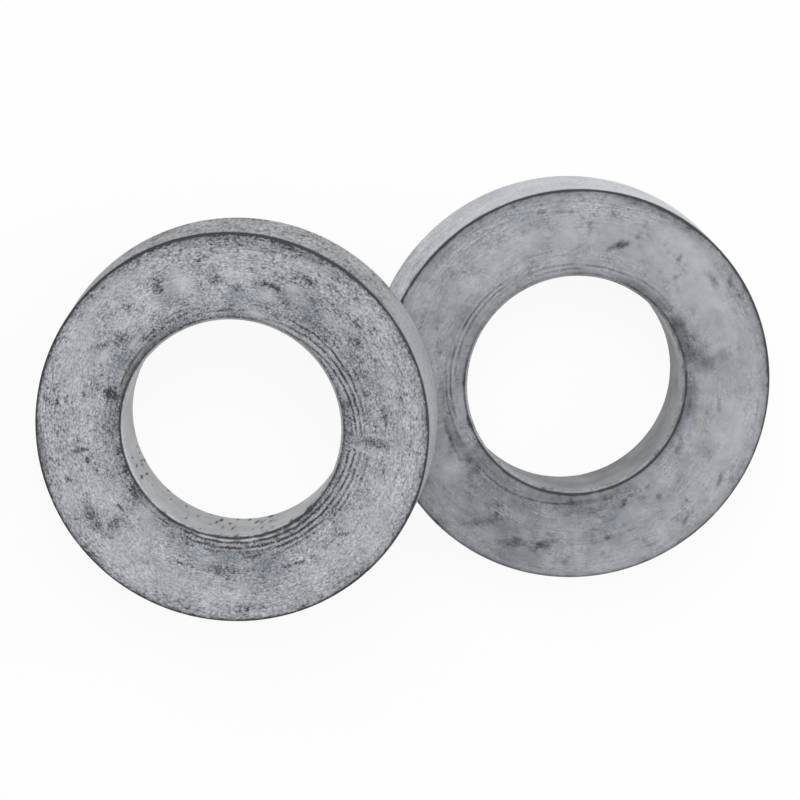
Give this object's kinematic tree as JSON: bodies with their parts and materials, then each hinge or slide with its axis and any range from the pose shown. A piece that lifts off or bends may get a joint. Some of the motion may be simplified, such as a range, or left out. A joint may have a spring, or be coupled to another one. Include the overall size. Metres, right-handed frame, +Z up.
{
  "type": "pair of washers",
  "caption": "Extra thick plain round washers with a zinc coat, lying one against the other, for spreading the load of a bolt.",
  "frame": {"origin": "on the table, below the middle of the pair's bounding box", "axes": "+X runs along the line through the two washers' centres, from the leaning washer to the lying one; +Y lies across it on the table; +Z is up"},
  "size_m": [0.07, 0.0374, 0.0168],
  "materials": {
    "pitted_zinc": "hot dip zinc coat over hardened steel, dull grey with small dark pits and turning marks",
    "smooth_zinc": "hot dip zinc coat over hardened steel, smoother and slightly lighter, with faint turning marks and smudges"
  },
  "bodies": {
    "root": {"lying_washer": "smooth_zinc", "leaning_washer": "pitted_zinc"}
  },
  "joints": []
}
